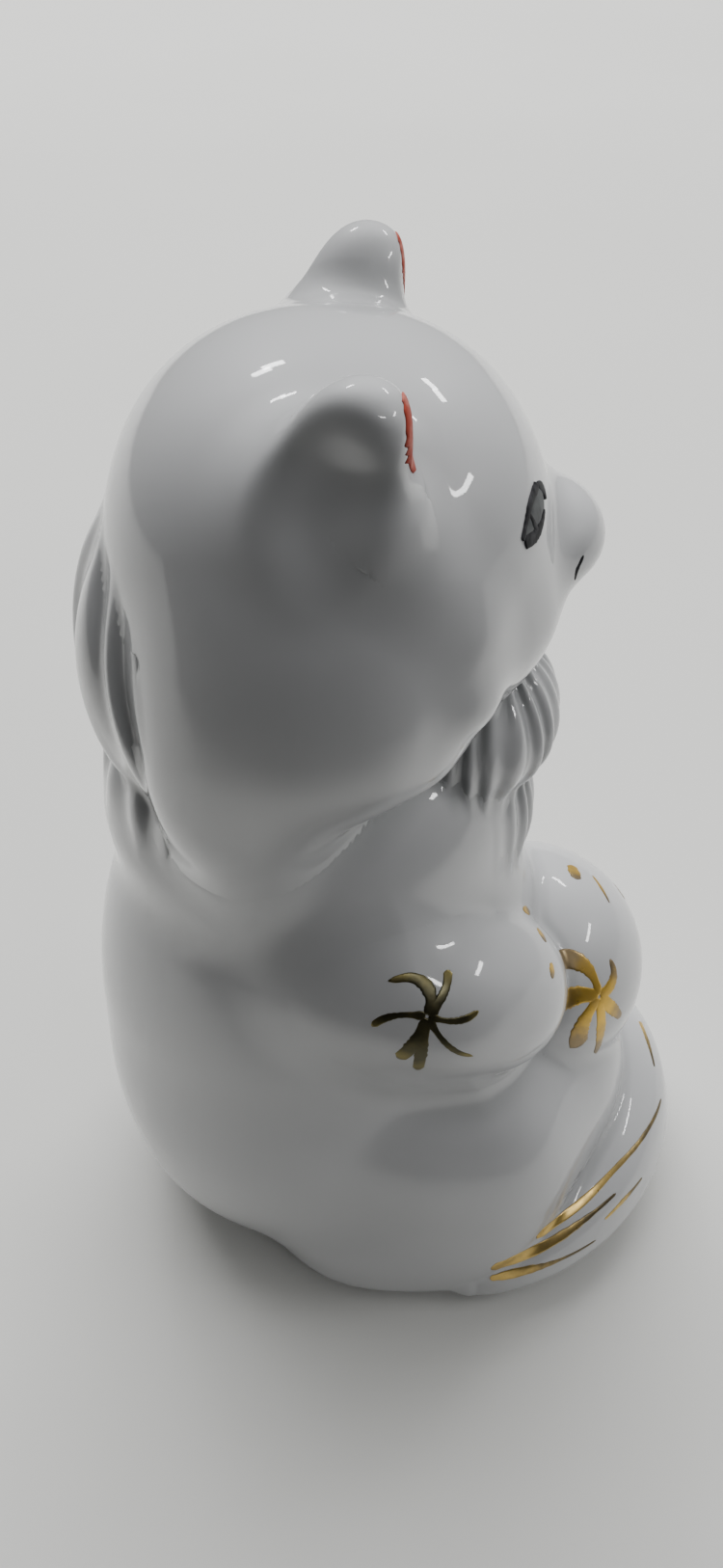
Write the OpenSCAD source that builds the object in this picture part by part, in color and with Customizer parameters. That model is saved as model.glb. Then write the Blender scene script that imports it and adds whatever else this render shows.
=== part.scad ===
// Seated lion-dog figure in glazed porcelain, hollow, with a ball between its forepaws.
// The figure faces -Y, stands on z = 0, and its right side is at -X.

/* [Body] */
// Widest diameter of the body shell
body_d = 51.4; // [45:0.1:62]
// Height of the body shell up to the neck seat
body_h = 71; // [62:0.1:86]
// Diameter of the foot that the body stands on
foot_d = 41; // [34:0.5:44]
// Height of the body's widest girth
girth_h = 22; // [16:0.5:28]
// Distance of the body's axis behind the figure's origin
body_back = 9.3; // [6:0.1:12]
// Thickness of the porcelain wall
wall = 3.2; // [2.4:0.1:4]
// Diameter of the vent hole in the floor
vent_d = 8; // [5:0.5:12]

/* [Head] */
// Width of the skull, cheek to cheek
head_w = 42.6; // [36:0.1:51.5]
// Depth of the skull, brow to nape
head_d = 41; // [35:0.1:47]
// Height of the skull
head_h = 39; // [33:0.1:45]
// Height of the skull's centre above the neck seat
head_lift = 17.3; // [15:0.1:20]
// Width of the muzzle
muzzle_w = 14.4; // [10:0.1:18]
// Length that the muzzle stands out from the face
muzzle_out = 4.2; // [2:0.1:7]
// Height of the ears above the crown
ear_h = 2.2; // [0:0.1:6]
// Distance of an ear's tip inside the side of the skull
ear_in = 4.8; // [2:0.1:8]
// Diameter of an ear at its root
ear_d = 15; // [11:0.5:18]

/* [Mane] */
// Length of the back tress from the crown down
nape_l = 34; // [28:0.5:40]
// Width of the back tress
nape_w = 32; // [24:0.5:38]
// Width of the chest ruff
ruff_w = 22; // [16:0.5:28]
// Length of a side lobe of the mane, front to back
lobe_l = 30; // [24:0.5:36]

/* [Limbs] */
// Distance that a haunch stands out past the body's side
haunch_out = 1.8; // [0:0.1:5]
// Length of a haunch from knee to rump
haunch_l = 36; // [30:0.5:42]
// Height of a haunch
haunch_h = 30; // [24:0.5:36]
// Diameter of a foreleg at the shoulder
foreleg_d = 18; // [14:0.5:21]
// Diameter of a forepaw
paw_d = 14.6; // [11:0.1:17]
// Height of the shoulders
shoulder_h = 48; // [42:0.5:54]
// Diameter of the brocade ball
ball_d = 28.6; // [23:0.1:34.5]
// Thickest diameter of the tail
tail_d = 17.6; // [14:0.1:21.2]
// Distance that the tail's inner side is tucked in under the body's sides
tail_tuck = 10.5; // [8:0.1:13]
// Distance of the tail's inner side in front of the body
tail_ahead = 1; // [0:0.1:4]

/* [Decoration] */
// Thickness of the enamel and gilt films
film = 0.18; // [0.12:0.02:0.3]
// Diameter of a gilt whorl
whorl_d = 11.6; // [8:0.2:14]
// Number of arms in a whorl
whorl_arms = 6; // [5:1:8]
// Width of a gilt brush stroke
stroke_w = 1.4; // [1:0.1:2]
// Diameter of an eye
eye_d = 6.4; // [5:0.1:8]
// Diameter of a gilt claw dab
claw_d = 1.6; // [1:0.1:2.4]

/* [Hidden] */

R = -1;                      // sign of x on the figure's right
L = 1;                       // sign of x on its left
FACETS = 22;                 // facets round a modelled form
body_r = body_d / 2;
foot_r = foot_d / 2;
dome_h = body_h - girth_h;
DOME_REACH = 1.12;           // the body's dome would close at this share above its neck seat
DOME_POWER = 2.1;            // fullness of the dome's curve
PROFILE_STEPS = 9;
foot_recess = 0.8;
foot_ring_w = 3.4;
neck_bore_r = 9.4;
collar_h = 3;
collar_fit = 0.2;
collar_wall = 2.2;

head_y = body_back - 2.4;
head_z = body_h + head_lift;
crown_z = head_z + head_h / 2;
face_y = head_y - head_d / 2;
muzzle_z = head_z + 0.5;
ear_span = head_w - 2 * ear_in;
ear_y = head_y - 3.9;
ear_tip_r = 3;
ear_tip_z = crown_z + ear_h - ear_tip_r;
ear_root_z = head_z + 0.45 * head_h / 2;

haunch_slim = 1.7;                                     // a haunch is this much narrower than half the body
haunch_w = body_r - haunch_slim;
haunch_span = body_d + 2 * haunch_out;
haunch_x = haunch_span / 2 - haunch_w / 2;
lap_y = body_back - body_r + 8;                        // centre line of the thighs
ball_r = ball_d / 2;
ball_c = [0, body_back - body_r + 1.6, haunch_h / 2 + ball_r + 1.2];
paw_reach = 0.96;                                      // the paw's centre, as a share of the ball's radius
right_paw_dir = [-0.76, 0.2, 0.62];
left_paw_dir = [0.79, 0.06, -0.18];
shoulder_x = body_r - 9.2;
tail_x = -1.6;
tail_y = -1;
tail_sweep_w = body_r + tail_d / 2 - tail_tuck;        // half width of the oval round the feet
tail_sweep_d = tail_y - (body_back - body_r) + tail_d / 2 + tail_ahead;
tail_from = -15;
tail_to = -166;
TAIL_STEPS = 12;
eye_dir = [0.53, -0.76, 0.39];                         // from the skull's centre, on the left side

// ---- helpers ---------------------------------------------------------------

// A modelled slug of clay: an egg at p with half sizes r.
module egg(p, r, grow = 0) {
    hull() translate(p) scale([r[0] + grow, r[1] + grow, r[2] + grow]) sphere(1, $fn = FACETS);
}

// A roll of clay through a run of slugs, each [x, y, z, rx, ry, rz].
module roll(slugs, grow = 0) {
    for (i = [0:len(slugs) - 2]) hull() {
        egg([for (k = [0:2]) slugs[i][k]], [for (k = [3:5]) slugs[i][k]], grow);
        egg([for (k = [0:2]) slugs[i + 1][k]], [for (k = [3:5]) slugs[i + 1][k]], grow);
    }
}

function round_slug(p, r) = [p[0], p[1], p[2], r, r, r];

// Everything above the floor, and everything on one side of the middle plane.
module above_floor() { translate([-100, -100, 0]) cube([200, 200, 200]); }
module one_side(side) { translate([side > 0 ? 0 : -100, -100, -1]) cube([100, 200, 200]); }

// Points of the body's outline from the foot's edge to the neck, set in by t.
function body_radius(z) = z < girth_h
    ? foot_r + (body_r - foot_r) * sqrt(max(0, 1 - pow(1 - z / girth_h, 2)))
    : body_r * pow(1 - pow((z - girth_h) / (dome_h * DOME_REACH), DOME_POWER), 1 / DOME_POWER);
function body_outline(z0, z1, t) = [for (i = [0:2 * PROFILE_STEPS])
    let (z = z0 + (z1 - z0) * (1 - cos(90 * i / PROFILE_STEPS)) / 2) [body_radius(z) - t, z]];

// The body's front and back at the height z.
function chest_y(z) = body_back - body_radius(z);
function back_y(z) = body_back + body_radius(z);

module body_form(grow = 0) {
    translate([0, body_back, 0]) rotate_extrude($fn = 96)
        polygon(concat([[0, 0]], body_outline(0, body_h, -grow), [[0, body_h]]));
}

module body_cavity() {
    translate([0, body_back, 0]) rotate_extrude($fn = 96)
        polygon(concat([[0, wall]], body_outline(wall, body_h - wall, wall), [[0, body_h - wall]]));
}

// ---- solid forms, used for the pieces and for the seats cut in their neighbours ----------

module skull_form(grow = 0) {
    egg([0, head_y, head_z], [head_w / 2, head_d / 2, head_h / 2], grow);
    egg([0, face_y + 2, muzzle_z], [muzzle_w / 2, muzzle_out + 2, 4.9], grow);
    egg([-muzzle_w / 2, face_y + 8.5, head_z - 7.5], [9, 8.5, 8], grow);
    egg([muzzle_w / 2, face_y + 8.5, head_z - 7.5], [9, 8.5, 8], grow);
    egg([0, head_y + 1, body_h + 3], [13.5, 14, 9], grow);
}

module ear_form(side, grow = 0) {
    roll([
        [side * (ear_span / 2 - 1.8), ear_y + 3.4, ear_root_z, ear_d / 2, ear_d / 2 + 1, ear_d / 2],
        [side * (ear_span / 2 - 1), ear_y + 2, (ear_root_z + ear_tip_z) / 2 + 1, 4.6, 5.6, 5],
        [side * ear_span / 2, ear_y, ear_tip_z, 2.6, ear_tip_r, ear_tip_r]
    ], grow);
}

module side_mane_form(side) {
    x = side * (head_w / 2 - 8.2);
    roll([
        [x, head_y + 6, head_z - 6, 8.6, lobe_l / 2 - 4, 11],
        [x, head_y - 2, head_z - 10, 9.4, lobe_l / 2 - 3, 11.4],
        [side * (head_w / 2 - 11), head_y - 6, head_z - 15, 8, lobe_l / 2 - 6, 8]
    ]);
}

module nape_upper_form() {
    y = head_y + head_d / 2 - 6.4;
    z = crown_z - 15;
    roll([
        [0, y, z, nape_w / 2 - 2, 9.4, 10],
        [0, y + 0.8, z - nape_l / 2 + 4, nape_w / 2, 9.8, 10],
        [0, y - 0.6, z - nape_l + 15, nape_w / 2 - 2, 8.4, 8]
    ]);
}

module nape_lower_form() {
    top = body_h - 4;
    ends = body_h - 12;
    roll([
        [0, back_y(top) - 3.5, top, nape_w / 2 - 1, 9, 9],
        [-6, back_y(ends) - 7.2, ends, 9, 8.6, 9],
        [6, back_y(ends) - 7.2, ends, 9, 8.6, 9]
    ]);
}

module ruff_upper_form() {
    roll([
        [0, face_y + 8.4, body_h + 1, ruff_w / 2, 9.6, 8.4],
        [0, face_y + 8.2, body_h - 2, ruff_w / 2 - 0.6, 9.6, 8],
        [0, face_y + 9.2, body_h - 5, ruff_w / 2 - 3, 8.6, 6.8]
    ]);
}

module ruff_lower_form() {
    top = body_h - 10;
    middle = body_h - 15;
    ends = body_h - 19;
    roll([
        [0, chest_y(top) + 4.6, top, ruff_w / 2 - 1, 9, 8],
        [0, chest_y(middle) + 6.8, middle, ruff_w / 2 - 1.6, 9, 8],
        [0, chest_y(ends) + 9.1, ends, ruff_w / 2 - 3.4, 8.4, 7]
    ]);
}

module haunch_form(side, grow = 0) {
    roll([
        [side * haunch_x, lap_y + 4, haunch_h / 2 + 1, haunch_w / 2, haunch_l / 2 - 4, haunch_h / 2],
        [side * haunch_x, lap_y - 3, haunch_h / 2 - 2, haunch_w / 2, haunch_l / 2 - 4, haunch_h / 2 - 1],
        [side * (haunch_x - 1), lap_y + 1, 6, haunch_w / 2, haunch_l / 2 - 4, 8],
        [side * 5, lap_y - 4, 7, 9, haunch_l / 2 - 7, 9]
    ], grow);
}

function paw_centre(side) = ball_c + paw_reach * ball_r * (side == R ? right_paw_dir : left_paw_dir);

module foreleg_form(side, grow = 0) {
    p = paw_centre(side);
    elbow = [side * (body_r - 8.6), p[1] + 8.4, (shoulder_h + p[2]) / 2 - 0.5];
    roll([
        round_slug([side * shoulder_x, body_back - 4.3, shoulder_h], foreleg_d / 2),
        round_slug(elbow, foreleg_d / 2 - 0.5),
        round_slug(p, paw_d / 2)
    ], grow);
}

module ball_form(grow = 0) {
    egg(ball_c, [ball_r, ball_r, ball_r], grow);
}

// The tail lies on the floor. It is thin at its root, swells to the front and ends in a point.
function tail_r(t) = tail_d / 2 * (0.3 + 0.7 * pow(max(0, sin(180 * t)), 0.8));
function tail_angle(t) = tail_from + (tail_to - tail_from) * t;
// A point on the tail's surface, lift degrees up from its outer side, or its core at share 0.
function tail_point(t, lift = 0, share = 0) =
    let (a = tail_angle(t), r = tail_r(t) * share)
    [tail_x + (tail_sweep_w + r * cos(lift)) * cos(a), tail_y + (tail_sweep_d + r * cos(lift)) * sin(a),
     tail_r(t) + 0.2 + r * sin(lift)];

module tail_form(grow = 0) {
    roll([for (i = [0:TAIL_STEPS]) round_slug(tail_point(i / TAIL_STEPS), tail_r(i / TAIL_STEPS))], grow);
}

// ---- the clay pieces -------------------------------------------------------

// Body: cast shell with a recessed foot, a vent hole and a collar that locates the head.
module torso_shell() color("white") {
    difference() {
        body_form();
        body_cavity();
        translate([0, body_back, -1]) cylinder(r = vent_d / 2, h = wall + 2, $fn = 48);
        translate([0, body_back, -1]) cylinder(r = foot_r - foot_ring_w, h = 1 + foot_recess, $fn = 96);
        translate([0, body_back, body_h - wall - 1]) cylinder(r = neck_bore_r - collar_wall, h = wall + 2, $fn = 64);
    }
    translate([0, body_back, body_h - 1]) difference() {
        cylinder(r = neck_bore_r - collar_fit, h = collar_h + 1, $fn = 64);
        translate([0, 0, -1]) cylinder(r = neck_bore_r - collar_wall, h = collar_h + 3, $fn = 64);
    }
}

// Head: cast shell cut flat at the neck, open below over the body's collar.
module head_shell() color("white") difference() {
    skull_form();
    egg([0, head_y, head_z], [head_w / 2 - wall, head_d / 2 - wall, head_h / 2 - wall]);
    translate([0, body_back, body_h - 1]) cylinder(r = neck_bore_r, h = head_lift, $fn = 48);
    translate([-60, -60, body_h - 60]) cube([120, 120, 60]);
}

module ear(side) color("white") difference() {
    ear_form(side);
    skull_form();
}

module side_mane(side) color("white") difference() {
    side_mane_form(side);
    skull_form();
    ear_form(side);
    body_form();
    ruff_upper_form();
    nape_upper_form();
}

module nape_mane_upper() color("white") difference() {
    nape_upper_form();
    skull_form();
    body_form();
    nape_lower_form();
}

module nape_mane_lower() color("white") difference() {
    nape_lower_form();
    skull_form();
    body_form();
}

module chest_ruff_upper() color("white") difference() {
    ruff_upper_form();
    skull_form();
    body_form();
}

module chest_ruff_lower() color("white") difference() {
    ruff_lower_form();
    ruff_upper_form();
    skull_form();
    body_form();
}

module haunch(side) color("white") difference() {
    intersection() {
        haunch_form(side);
        above_floor();
        one_side(side);
    }
    body_form();
}

module brocade_ball() color("white") difference() {
    ball_form();
    body_form();
    haunch_form(R);
    haunch_form(L);
    ruff_lower_form();
}

module foreleg(side) color("white") difference() {
    foreleg_form(side);
    body_form();
    ball_form();
    haunch_form(side);
    ruff_lower_form();
    ruff_upper_form();
    side_mane_form(side);
}

module tail() color("white") difference() {
    intersection() {
        tail_form();
        above_floor();
    }
    body_form();
    haunch_form(R);
    haunch_form(L);
    ball_form();
}

// ---- enamel and gilt films, fired on the glaze ---------------------------------

// Turns +Z to the direction d and moves it to p.
module facing(p, d) {
    translate(p) rotate([0, acos(d[2] / norm(d)), atan2(d[1], d[0])]) children();
}

// A film of the flat shape in children(), laid over forms 0 and grown forms 1.
module film_on() {
    difference() {
        intersection() {
            children(0);
            children(1);
        }
        children(2);
    }
}

// One curved arm of a whorl, as an outline that swells towards its end.
module whorl_arm() {
    n = 7;
    function spine(u) = let (r = whorl_d / 2 * (0.06 + 0.94 * u), a = 34 * u * u) [r * cos(a), r * sin(a)];
    function across(u) = let (d = spine(u + 0.01) - spine(u - 0.01)) [-d[1], d[0]] / norm(d);
    function half_w(u) = whorl_d * (0.03 + 0.045 * sin(150 * u));
    polygon(concat(
        [for (i = [0:n]) spine(i / n) + half_w(i / n) * across(i / n)],
        [for (i = [n:-1:0]) spine(i / n) - half_w(i / n) * across(i / n)]
    ));
}

module whorl() {
    linear_extrude(height = 9, center = true) {
        circle(d = whorl_d * 0.14, $fn = 16);
        for (i = [0:whorl_arms - 1]) rotate(360 * i / whorl_arms) whorl_arm();
    }
}

function eye_centre(side) = [side * eye_dir[0] * head_w / 2, head_y + eye_dir[1] * head_d / 2,
    head_z + eye_dir[2] * head_h / 2];

module eye_outline(side) color([0.06, 0.06, 0.07]) film_on() {
    facing(eye_centre(side), [side * eye_dir[0], eye_dir[1], eye_dir[2]]) difference() {
        cylinder(d = eye_d, h = 8, center = true, $fn = 28);
        cylinder(d = eye_d * 0.66, h = 9, center = true, $fn = 24);
    }
    skull_form(film);
    skull_form();
}

module eye_iris(side) color([0.35, 0.37, 0.37]) film_on() {
    facing(eye_centre(side), [side * eye_dir[0], eye_dir[1], eye_dir[2]])
        cylinder(d = eye_d * 0.66, h = 8, center = true, $fn = 24);
    skull_form(film);
    skull_form();
}

module ear_lining(side) color([0.6, 0.2, 0.16]) film_on() {
    facing([side * ear_span / 2, ear_y - ear_tip_r, ear_tip_z - 2.4], [0, -1, 0.12])
        linear_extrude(height = 5, center = true) scale([1.9, 1]) circle(d = 3.4, $fn = 20);
    ear_form(side, film);
    union() {
        ear_form(side);
        skull_form();
    }
}

module mouth_line() color([0.12, 0.1, 0.1]) film_on() {
    translate([-3.2, face_y - muzzle_out - 4, muzzle_z - 2.9]) cube([6.4, 6, 0.6]);
    skull_form(film);
    skull_form();
}

module shoulder_whorl(side) color("gold") film_on() {
    facing([side * (body_r - 2.6), 1, shoulder_h + 0.4], [side * 0.9, -0.15, 0.4]) whorl();
    union() {
        foreleg_form(side, film);
        body_form(film);
        haunch_form(side, film);
    }
    union() {
        foreleg_form(side);
        body_form();
        haunch_form(side);
    }
}

module ball_whorls() color("gold") film_on() {
    union() {
        facing(ball_c + ball_r * [-0.74, -0.46, 0.42], [-0.76, -0.46, 0.42]) whorl();
        facing(ball_c + ball_r * [0.12, -0.45, 0.88], [0.12, -0.45, 0.88]) whorl();
        facing(ball_c + ball_r * [0.3, -0.93, 0.02], [0.3, -0.93, 0.02]) whorl();
    }
    ball_form(film);
    union() {
        ball_form();
        foreleg_form(R);
        foreleg_form(L);
        ruff_lower_form();
        haunch_form(R);
        haunch_form(L);
        tail_form();
    }
}

// Three dabs across the end of a paw: across is the way they are spread, ahead the way they face.
module claws(side, ahead, across) {
    for (i = [-1:1]) facing(paw_centre(side), ahead + 0.52 * i * across)
        cylinder(d = claw_d, h = paw_d, $fn = 12);
}

module forepaw_claws() color("gold") film_on() {
    union() {
        claws(R, [-0.04, -0.32, 0.86], [1, 0.16, 0.1]);
        claws(L, [0.35, -0.86, 0.3], [0.5, 0.1, -0.75]);
    }
    union() {
        foreleg_form(R, film);
        foreleg_form(L, film);
    }
    union() {
        foreleg_form(R);
        foreleg_form(L);
        ball_form();
        body_form();
        haunch_form(L);
    }
}

// A brush stroke along the tail, from the share t0 of its length back to t1, wide at t0.
module stroke(t0, t1, lift) {
    n = 5;
    for (k = [0:n - 1]) hull() for (u = [k / n, (k + 1) / n])
        translate(tail_point(t0 + (t1 - t0) * u, lift, 1)) sphere(r = stroke_w * (0.62 - 0.36 * u), $fn = 10);
}

module tail_strokes() color("gold") film_on() {
    union() {
        stroke(0.9, 0.6, 50);
        stroke(0.97, 0.72, 24);
        stroke(0.96, 0.8, -8);
        stroke(0.74, 0.66, 2);
        stroke(0.57, 0.48, 64);
    }
    tail_form(film);
    union() {
        tail_form();
        haunch_form(R);
        haunch_form(L);
    }
}

torso_shell();
head_shell();
ear(R);  // right_ear
ear(L);  // left_ear
side_mane(R);  // right_side_mane
side_mane(L);  // left_side_mane
nape_mane_upper();
nape_mane_lower();
chest_ruff_upper();
chest_ruff_lower();
haunch(R);  // right_haunch
haunch(L);  // left_haunch
foreleg(R);  // right_foreleg
foreleg(L);  // left_foreleg
brocade_ball();
tail();
eye_outline(R);  // right_eye_outline
eye_outline(L);  // left_eye_outline
eye_iris(R);  // right_eye_iris
eye_iris(L);  // left_eye_iris
ear_lining(R);  // right_ear_lining
ear_lining(L);  // left_ear_lining
mouth_line();
shoulder_whorl(R);  // right_shoulder_whorl
shoulder_whorl(L);  // left_shoulder_whorl
ball_whorls();
forepaw_claws();
tail_strokes();
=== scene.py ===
import bpy
import numpy as np
from mathutils import Matrix, Vector


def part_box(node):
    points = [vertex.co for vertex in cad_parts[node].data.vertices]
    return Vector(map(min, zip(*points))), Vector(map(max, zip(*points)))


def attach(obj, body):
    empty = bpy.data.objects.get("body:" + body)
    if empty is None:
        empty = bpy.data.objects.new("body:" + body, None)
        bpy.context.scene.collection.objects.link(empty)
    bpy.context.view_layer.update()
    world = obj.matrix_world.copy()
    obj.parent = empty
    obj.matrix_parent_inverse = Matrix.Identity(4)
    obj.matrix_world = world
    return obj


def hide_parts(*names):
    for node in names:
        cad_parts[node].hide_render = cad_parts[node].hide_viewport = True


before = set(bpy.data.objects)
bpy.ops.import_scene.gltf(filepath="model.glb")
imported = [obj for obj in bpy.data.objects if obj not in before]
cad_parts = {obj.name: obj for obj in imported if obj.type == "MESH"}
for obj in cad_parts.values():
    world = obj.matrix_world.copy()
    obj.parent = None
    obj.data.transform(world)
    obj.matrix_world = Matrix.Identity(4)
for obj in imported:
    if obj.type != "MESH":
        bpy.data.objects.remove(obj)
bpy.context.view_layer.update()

# ---- Body -----------------------------------------------------------------------------------
# The body is a slip-cast porcelain shell, plump below and drawn in under the head. Every other
# piece of clay is luted to it with slip, and a clear glaze runs over them all in one firing.

MM = 0.001


def box_of(node):
    """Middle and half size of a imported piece's box, in millimetres."""
    low, high = (np.array(corner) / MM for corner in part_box(node))
    return (low + high) / 2, (high - low) / 2


def egg(p, middle, half, fullness=2.0):
    """Distance from p to a squashed ball. Each coordinate is divided by that half size, the three
    are raised to the fullness, summed and rooted, and (root - 1) is divided by its own slope."""
    q = np.abs((p - middle) / half) + 1e-9
    root = (q ** fullness).sum(-1) ** (1 / fullness)
    slope = np.sqrt(((q ** (fullness - 1) / half) ** 2).sum(-1)) * root ** (1 - fullness)
    return (root - 1) / slope


def luted(a, b, fillet):
    """Two clay forms joined with slip: the smaller distance, less fillet * h * (1 - h), where h goes
    from 0 to 1 as one form gives way to the other across the fillet."""
    h = np.clip(0.5 + 0.5 * (b - a) / fillet, 0, 1)
    return b + (a - b) * h - fillet * h * (1 - h)


def pared(a, b, edge):
    """What is left of form a inside form b, with the arris rounded over the width edge."""
    return -luted(-a, -b, edge)


joined = []                                  # the forms luted on so far, each with its fillet


def skin(p):
    """Distance to the outside of everything joined so far, each form luted to the ones before."""
    d = joined[0][0](p)
    for form, fillet in joined[1:]:
        d = luted(form(p), d, fillet(p) if callable(fillet) else fillet)
    return d


def lattice(rows, first, last):
    """Points and faces on a grid: each row is a closed ring, neighbouring rows are joined by
    four-sided faces, and fans to the points first and last close the first and last rows."""
    n, m = rows.shape[:2]
    points = np.vstack([rows.reshape(-1, 3), first[None], last[None]])
    i, j = np.meshgrid(np.arange(n - 1), np.arange(m), indexing="ij")
    k = (j + 1) % m
    quads = np.stack([i * m + j, i * m + k, (i + 1) * m + k, (i + 1) * m + j], -1).reshape(-1, 4)
    j = np.arange(m)
    k = (j + 1) % m
    fans = np.vstack([np.stack([np.full(m, n * m), k, j], -1),
                      np.stack([np.full(m, n * m + 1), (n - 1) * m + j, (n - 1) * m + k], -1)])
    return points, quads, fans


def smooth_mesh(name, points, quads, fans):
    """A smooth mesh from points in millimetres, four-sided faces and three-sided faces."""
    mesh = bpy.data.meshes.new(name)
    mesh.vertices.add(len(points))
    mesh.vertices.foreach_set("co", (points * MM).ravel())
    mesh.loops.add(quads.size + fans.size)
    mesh.loops.foreach_set("vertex_index", np.concatenate([quads.ravel(), fans.ravel()]).astype(np.int32))
    mesh.polygons.add(len(quads) + len(fans))
    starts = np.concatenate([np.arange(len(quads)) * 4, quads.size + np.arange(len(fans)) * 3])
    mesh.polygons.foreach_set("loop_start", starts.astype(np.int32))
    mesh.update(calc_edges=True)
    mesh.validate()
    mesh.shade_smooth()
    return mesh


def place(mesh, nodes, material):
    """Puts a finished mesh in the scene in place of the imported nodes."""
    piece = bpy.data.objects.new(mesh.name, mesh)
    bpy.context.scene.collection.objects.link(piece)
    mesh.materials.append(material)
    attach(piece, "root")
    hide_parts(*nodes)


def node_maker(material):
    """Gives make(kind, ...), which adds a node to the material. Each named value sets the input of
    that name, or links to it when it is another node's output, or else sets a property."""
    nodes, links = material.node_tree.nodes, material.node_tree.links

    def make(kind, **values):
        node = nodes.new("ShaderNode" + kind)
        for key, value in values.items():
            socket = node.inputs[key.replace("_", " ")] if key.replace("_", " ") in node.inputs else None
            if isinstance(value, bpy.types.NodeSocket):
                links.new(value, socket)
            elif socket is not None:
                socket.default_value = value
            else:
                setattr(node, key, value)
        return node
    return make, nodes, links


def porcelain():
    """White porcelain body under a clear glaze, its colour set to a mid grey, darker than the porcelain:
    painted shade over the whole figure. The glaze is a coat; it darkens to a deep blue-grey where the
    recess attribute is high, a little pooled glaze and mostly painted shade in the creases. It carries
    a faint orange peel, and has a few iron specks."""
    material = bpy.data.materials.new("glazed porcelain")
    material.use_nodes = True
    make, nodes, links = node_maker(material)
    surface = nodes["Principled BSDF"]
    place_on = make("TexCoord").outputs["Object"]
    drift = make("TexNoise", Vector=place_on, Scale=38.0, Detail=2.0)
    tone = make("Mix", data_type="RGBA")
    links.new(drift.outputs["Fac"], tone.inputs["Factor"])
    # These tones are a mid grey, far darker than white porcelain: painted shade that dims the whole figure.
    tone.inputs["A"].default_value = (0.46, 0.465, 0.475, 1)
    tone.inputs["B"].default_value = (0.50, 0.505, 0.515, 1)
    # Where recess is high the colour falls to 0.18: painted shade in the creases, with a little of the
    # glaze's own pooling.
    recess = make("Attribute", attribute_name="recess")
    pooled_glaze_and_shade = make("Mix", data_type="RGBA")
    links.new(recess.outputs["Fac"], pooled_glaze_and_shade.inputs["Factor"])
    links.new(tone.outputs["Result"], pooled_glaze_and_shade.inputs["A"])
    pooled_glaze_and_shade.inputs["B"].default_value = (0.18, 0.19, 0.19, 1)
    specks = make("TexVoronoi", Vector=place_on, Scale=210.0)
    size = make("TexNoise", Vector=place_on, Scale=160.0)
    rare = make("MapRange", Value=size.outputs["Fac"], From_Min=0.66, From_Max=0.74)
    dot = make("MapRange", Value=specks.outputs["Distance"], From_Min=0.075, From_Max=0.035)
    both = make("Math", operation="MULTIPLY")
    links.new(rare.outputs["Result"], both.inputs[0])
    links.new(dot.outputs["Result"], both.inputs[1])
    speckled = make("Mix", data_type="RGBA")
    links.new(both.outputs[0], speckled.inputs["Factor"])
    links.new(pooled_glaze_and_shade.outputs["Result"], speckled.inputs["A"])
    speckled.inputs["B"].default_value = (0.35, 0.33, 0.30, 1)
    links.new(speckled.outputs["Result"], surface.inputs["Base Color"])
    peel = make("TexNoise", Vector=place_on, Scale=260.0, Detail=1.0)
    bump = make("Bump", Height=peel.outputs["Fac"], Strength=0.035, Distance=0.0006)
    links.new(bump.outputs["Normal"], surface.inputs["Coat Normal"])
    surface.inputs["Roughness"].default_value = 0.42
    surface.inputs["Coat Weight"].default_value = 1.0
    surface.inputs["Coat Roughness"].default_value = 0.035
    surface.inputs["Coat IOR"].default_value = 1.5
    return material


glaze = porcelain()


def ball_rays(around, along, pole):
    """Directions on a ball: turn goes round the pole and tip goes from the pole to its opposite."""
    pole = np.array(pole, float) / np.linalg.norm(pole)
    side = np.cross(pole, (0, 1, 0) if abs(pole[1]) < 0.8 else (1, 0, 0))
    side /= np.linalg.norm(side)
    third = np.cross(side, pole)
    tip = np.pi * (np.arange(1, along) / along)[:, None, None]
    turn = (2 * np.pi * np.arange(around) / around)[None, :, None]
    return np.cos(tip) * pole + np.sin(tip) * (np.cos(turn) * side + np.sin(turn) * third), pole


# The recess share darkens the glaze's colour in the creases: mostly painted shade, with a little pooled
# glaze.
RECESS_REACH = 2.5


def add_recess(mesh):
    """Attribute recess: a point RECESS_REACH out along the normal is that far from a flat or swelling
    skin and nearer to it in a crease, and the shortfall becomes a share from 0 to 1."""
    n = len(mesh.vertices)
    at, out = np.empty(n * 3, np.float32), np.empty(n * 3, np.float32)
    mesh.vertices.foreach_get("co", at)
    mesh.vertex_normals.foreach_get("vector", out)
    at, out = at.reshape(-1, 3).astype(float) / MM, out.reshape(-1, 3).astype(float)
    share = np.clip((RECESS_REACH - skin(at + RECESS_REACH * out)) / 2.1 - 0.1, 0, 1)
    mesh.attributes.new("recess", "FLOAT", "POINT").data.foreach_set("value", share.astype(np.float32))


waiting = []                                 # pieces that wait for the glaze


def lute_ball(name, node, form, core, fillet=1.5, around=220, along=160, pole=(0, 0, 1)):
    """Lutes on a piece whose points will all lie on rays from its core."""
    heading, up = ball_rays(around, along, pole)
    rays = np.vstack([heading.reshape(-1, 3), up, -up])
    starts = np.array(core, float) + 0 * rays
    joined.append((form, fillet))
    waiting.append((name, node, form, fillet, starts, rays, heading.shape))


body_mid, body_half = box_of("torso_shell")
COLLAR = 3                                   # the neck collar stands this far above the shoulders
BODY_TOP = body_mid[2] + body_half[2] - COLLAR
FLOOR_ARRIS = 0.8                            # rounding where clay is cut flat on the floor


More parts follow.
